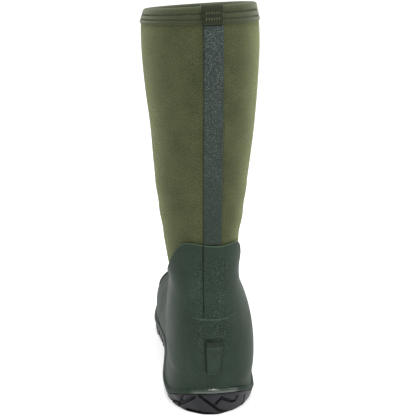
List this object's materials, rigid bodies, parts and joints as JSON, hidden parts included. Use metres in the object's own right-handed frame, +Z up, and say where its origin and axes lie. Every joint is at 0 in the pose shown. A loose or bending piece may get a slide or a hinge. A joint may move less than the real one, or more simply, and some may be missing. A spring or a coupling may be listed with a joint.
{
  "type": "insulated hunting boot",
  "caption": "Knee-high insulated rubber-bottomed field boot for the right foot, with a fabric-faced shaft that flexes at the ankle, a lugged outsole and a heel kick tab.",
  "frame": {"origin": "on the ground under the middle of the boot's footprint box", "axes": "+Z up the shaft, +Y toward the toe, +X toward the outer side of the foot"},
  "size_m": [0.1235, 0.3124, 0.3902],
  "materials": {
    "black_rubber": "satin moulded",
    "green_rubber": "satin moulded",
    "strip_rubber": "pebbled",
    "eva_foam": "closed-cell foam",
    "footbed_foam": "knit-topped foam",
    "steel": "plain",
    "fibre_board": "pressed board",
    "stiffener": "thermoplastic sheet",
    "insulation": "needled fibre",
    "neoprene": "closed-cell foam",
    "olive_fabric": "knit",
    "collar_fabric": "knit tape",
    "fleece": "brushed",
    "thread": "twisted",
    "tape": "woven tape"
  },
  "bodies": {
    "foot": {"outsole": "black_rubber", "midsole": "eva_foam", "shank": "steel", "insole_board": "fibre_board", "footbed": "footbed_foam", "rubber_shell": "green_rubber", "foxing_strip": "green_rubber", "heel_overlay": "green_rubber", "kick_tab": "green_rubber", "toe_cap": "green_rubber", "toe_stiffener": "stiffener", "heel_stiffener": "stiffener", "toe_foam": "insulation", "neoprene_foot": "neoprene", "face_fabric_ankle": "olive_fabric", "lining_foot": "fleece", "spine_strip_foot": "strip_rubber"},
    "shaft": {"neoprene_shaft": "neoprene", "face_fabric_shaft": "olive_fabric", "lining_shaft": "fleece", "spine_strip": "strip_rubber", "collar_band": "collar_fabric", "collar_binding": "collar_fabric", "collar_roll": "collar_fabric", "collar_stitching": "thread", "pull_tab": "collar_fabric", "tab_stitching": "thread", "bartack": "thread", "seam_tape": "tape"}
  },
  "joints": [
    {"name": "ankle_flex", "type": "hinge", "parent": "foot", "child": "shaft", "pos_m": [0, -0.0925, 0.112], "axis": [-1, 0, 0], "range_deg": [-10, 15], "stiffness_Nm_per_rad": 6}
  ]
}
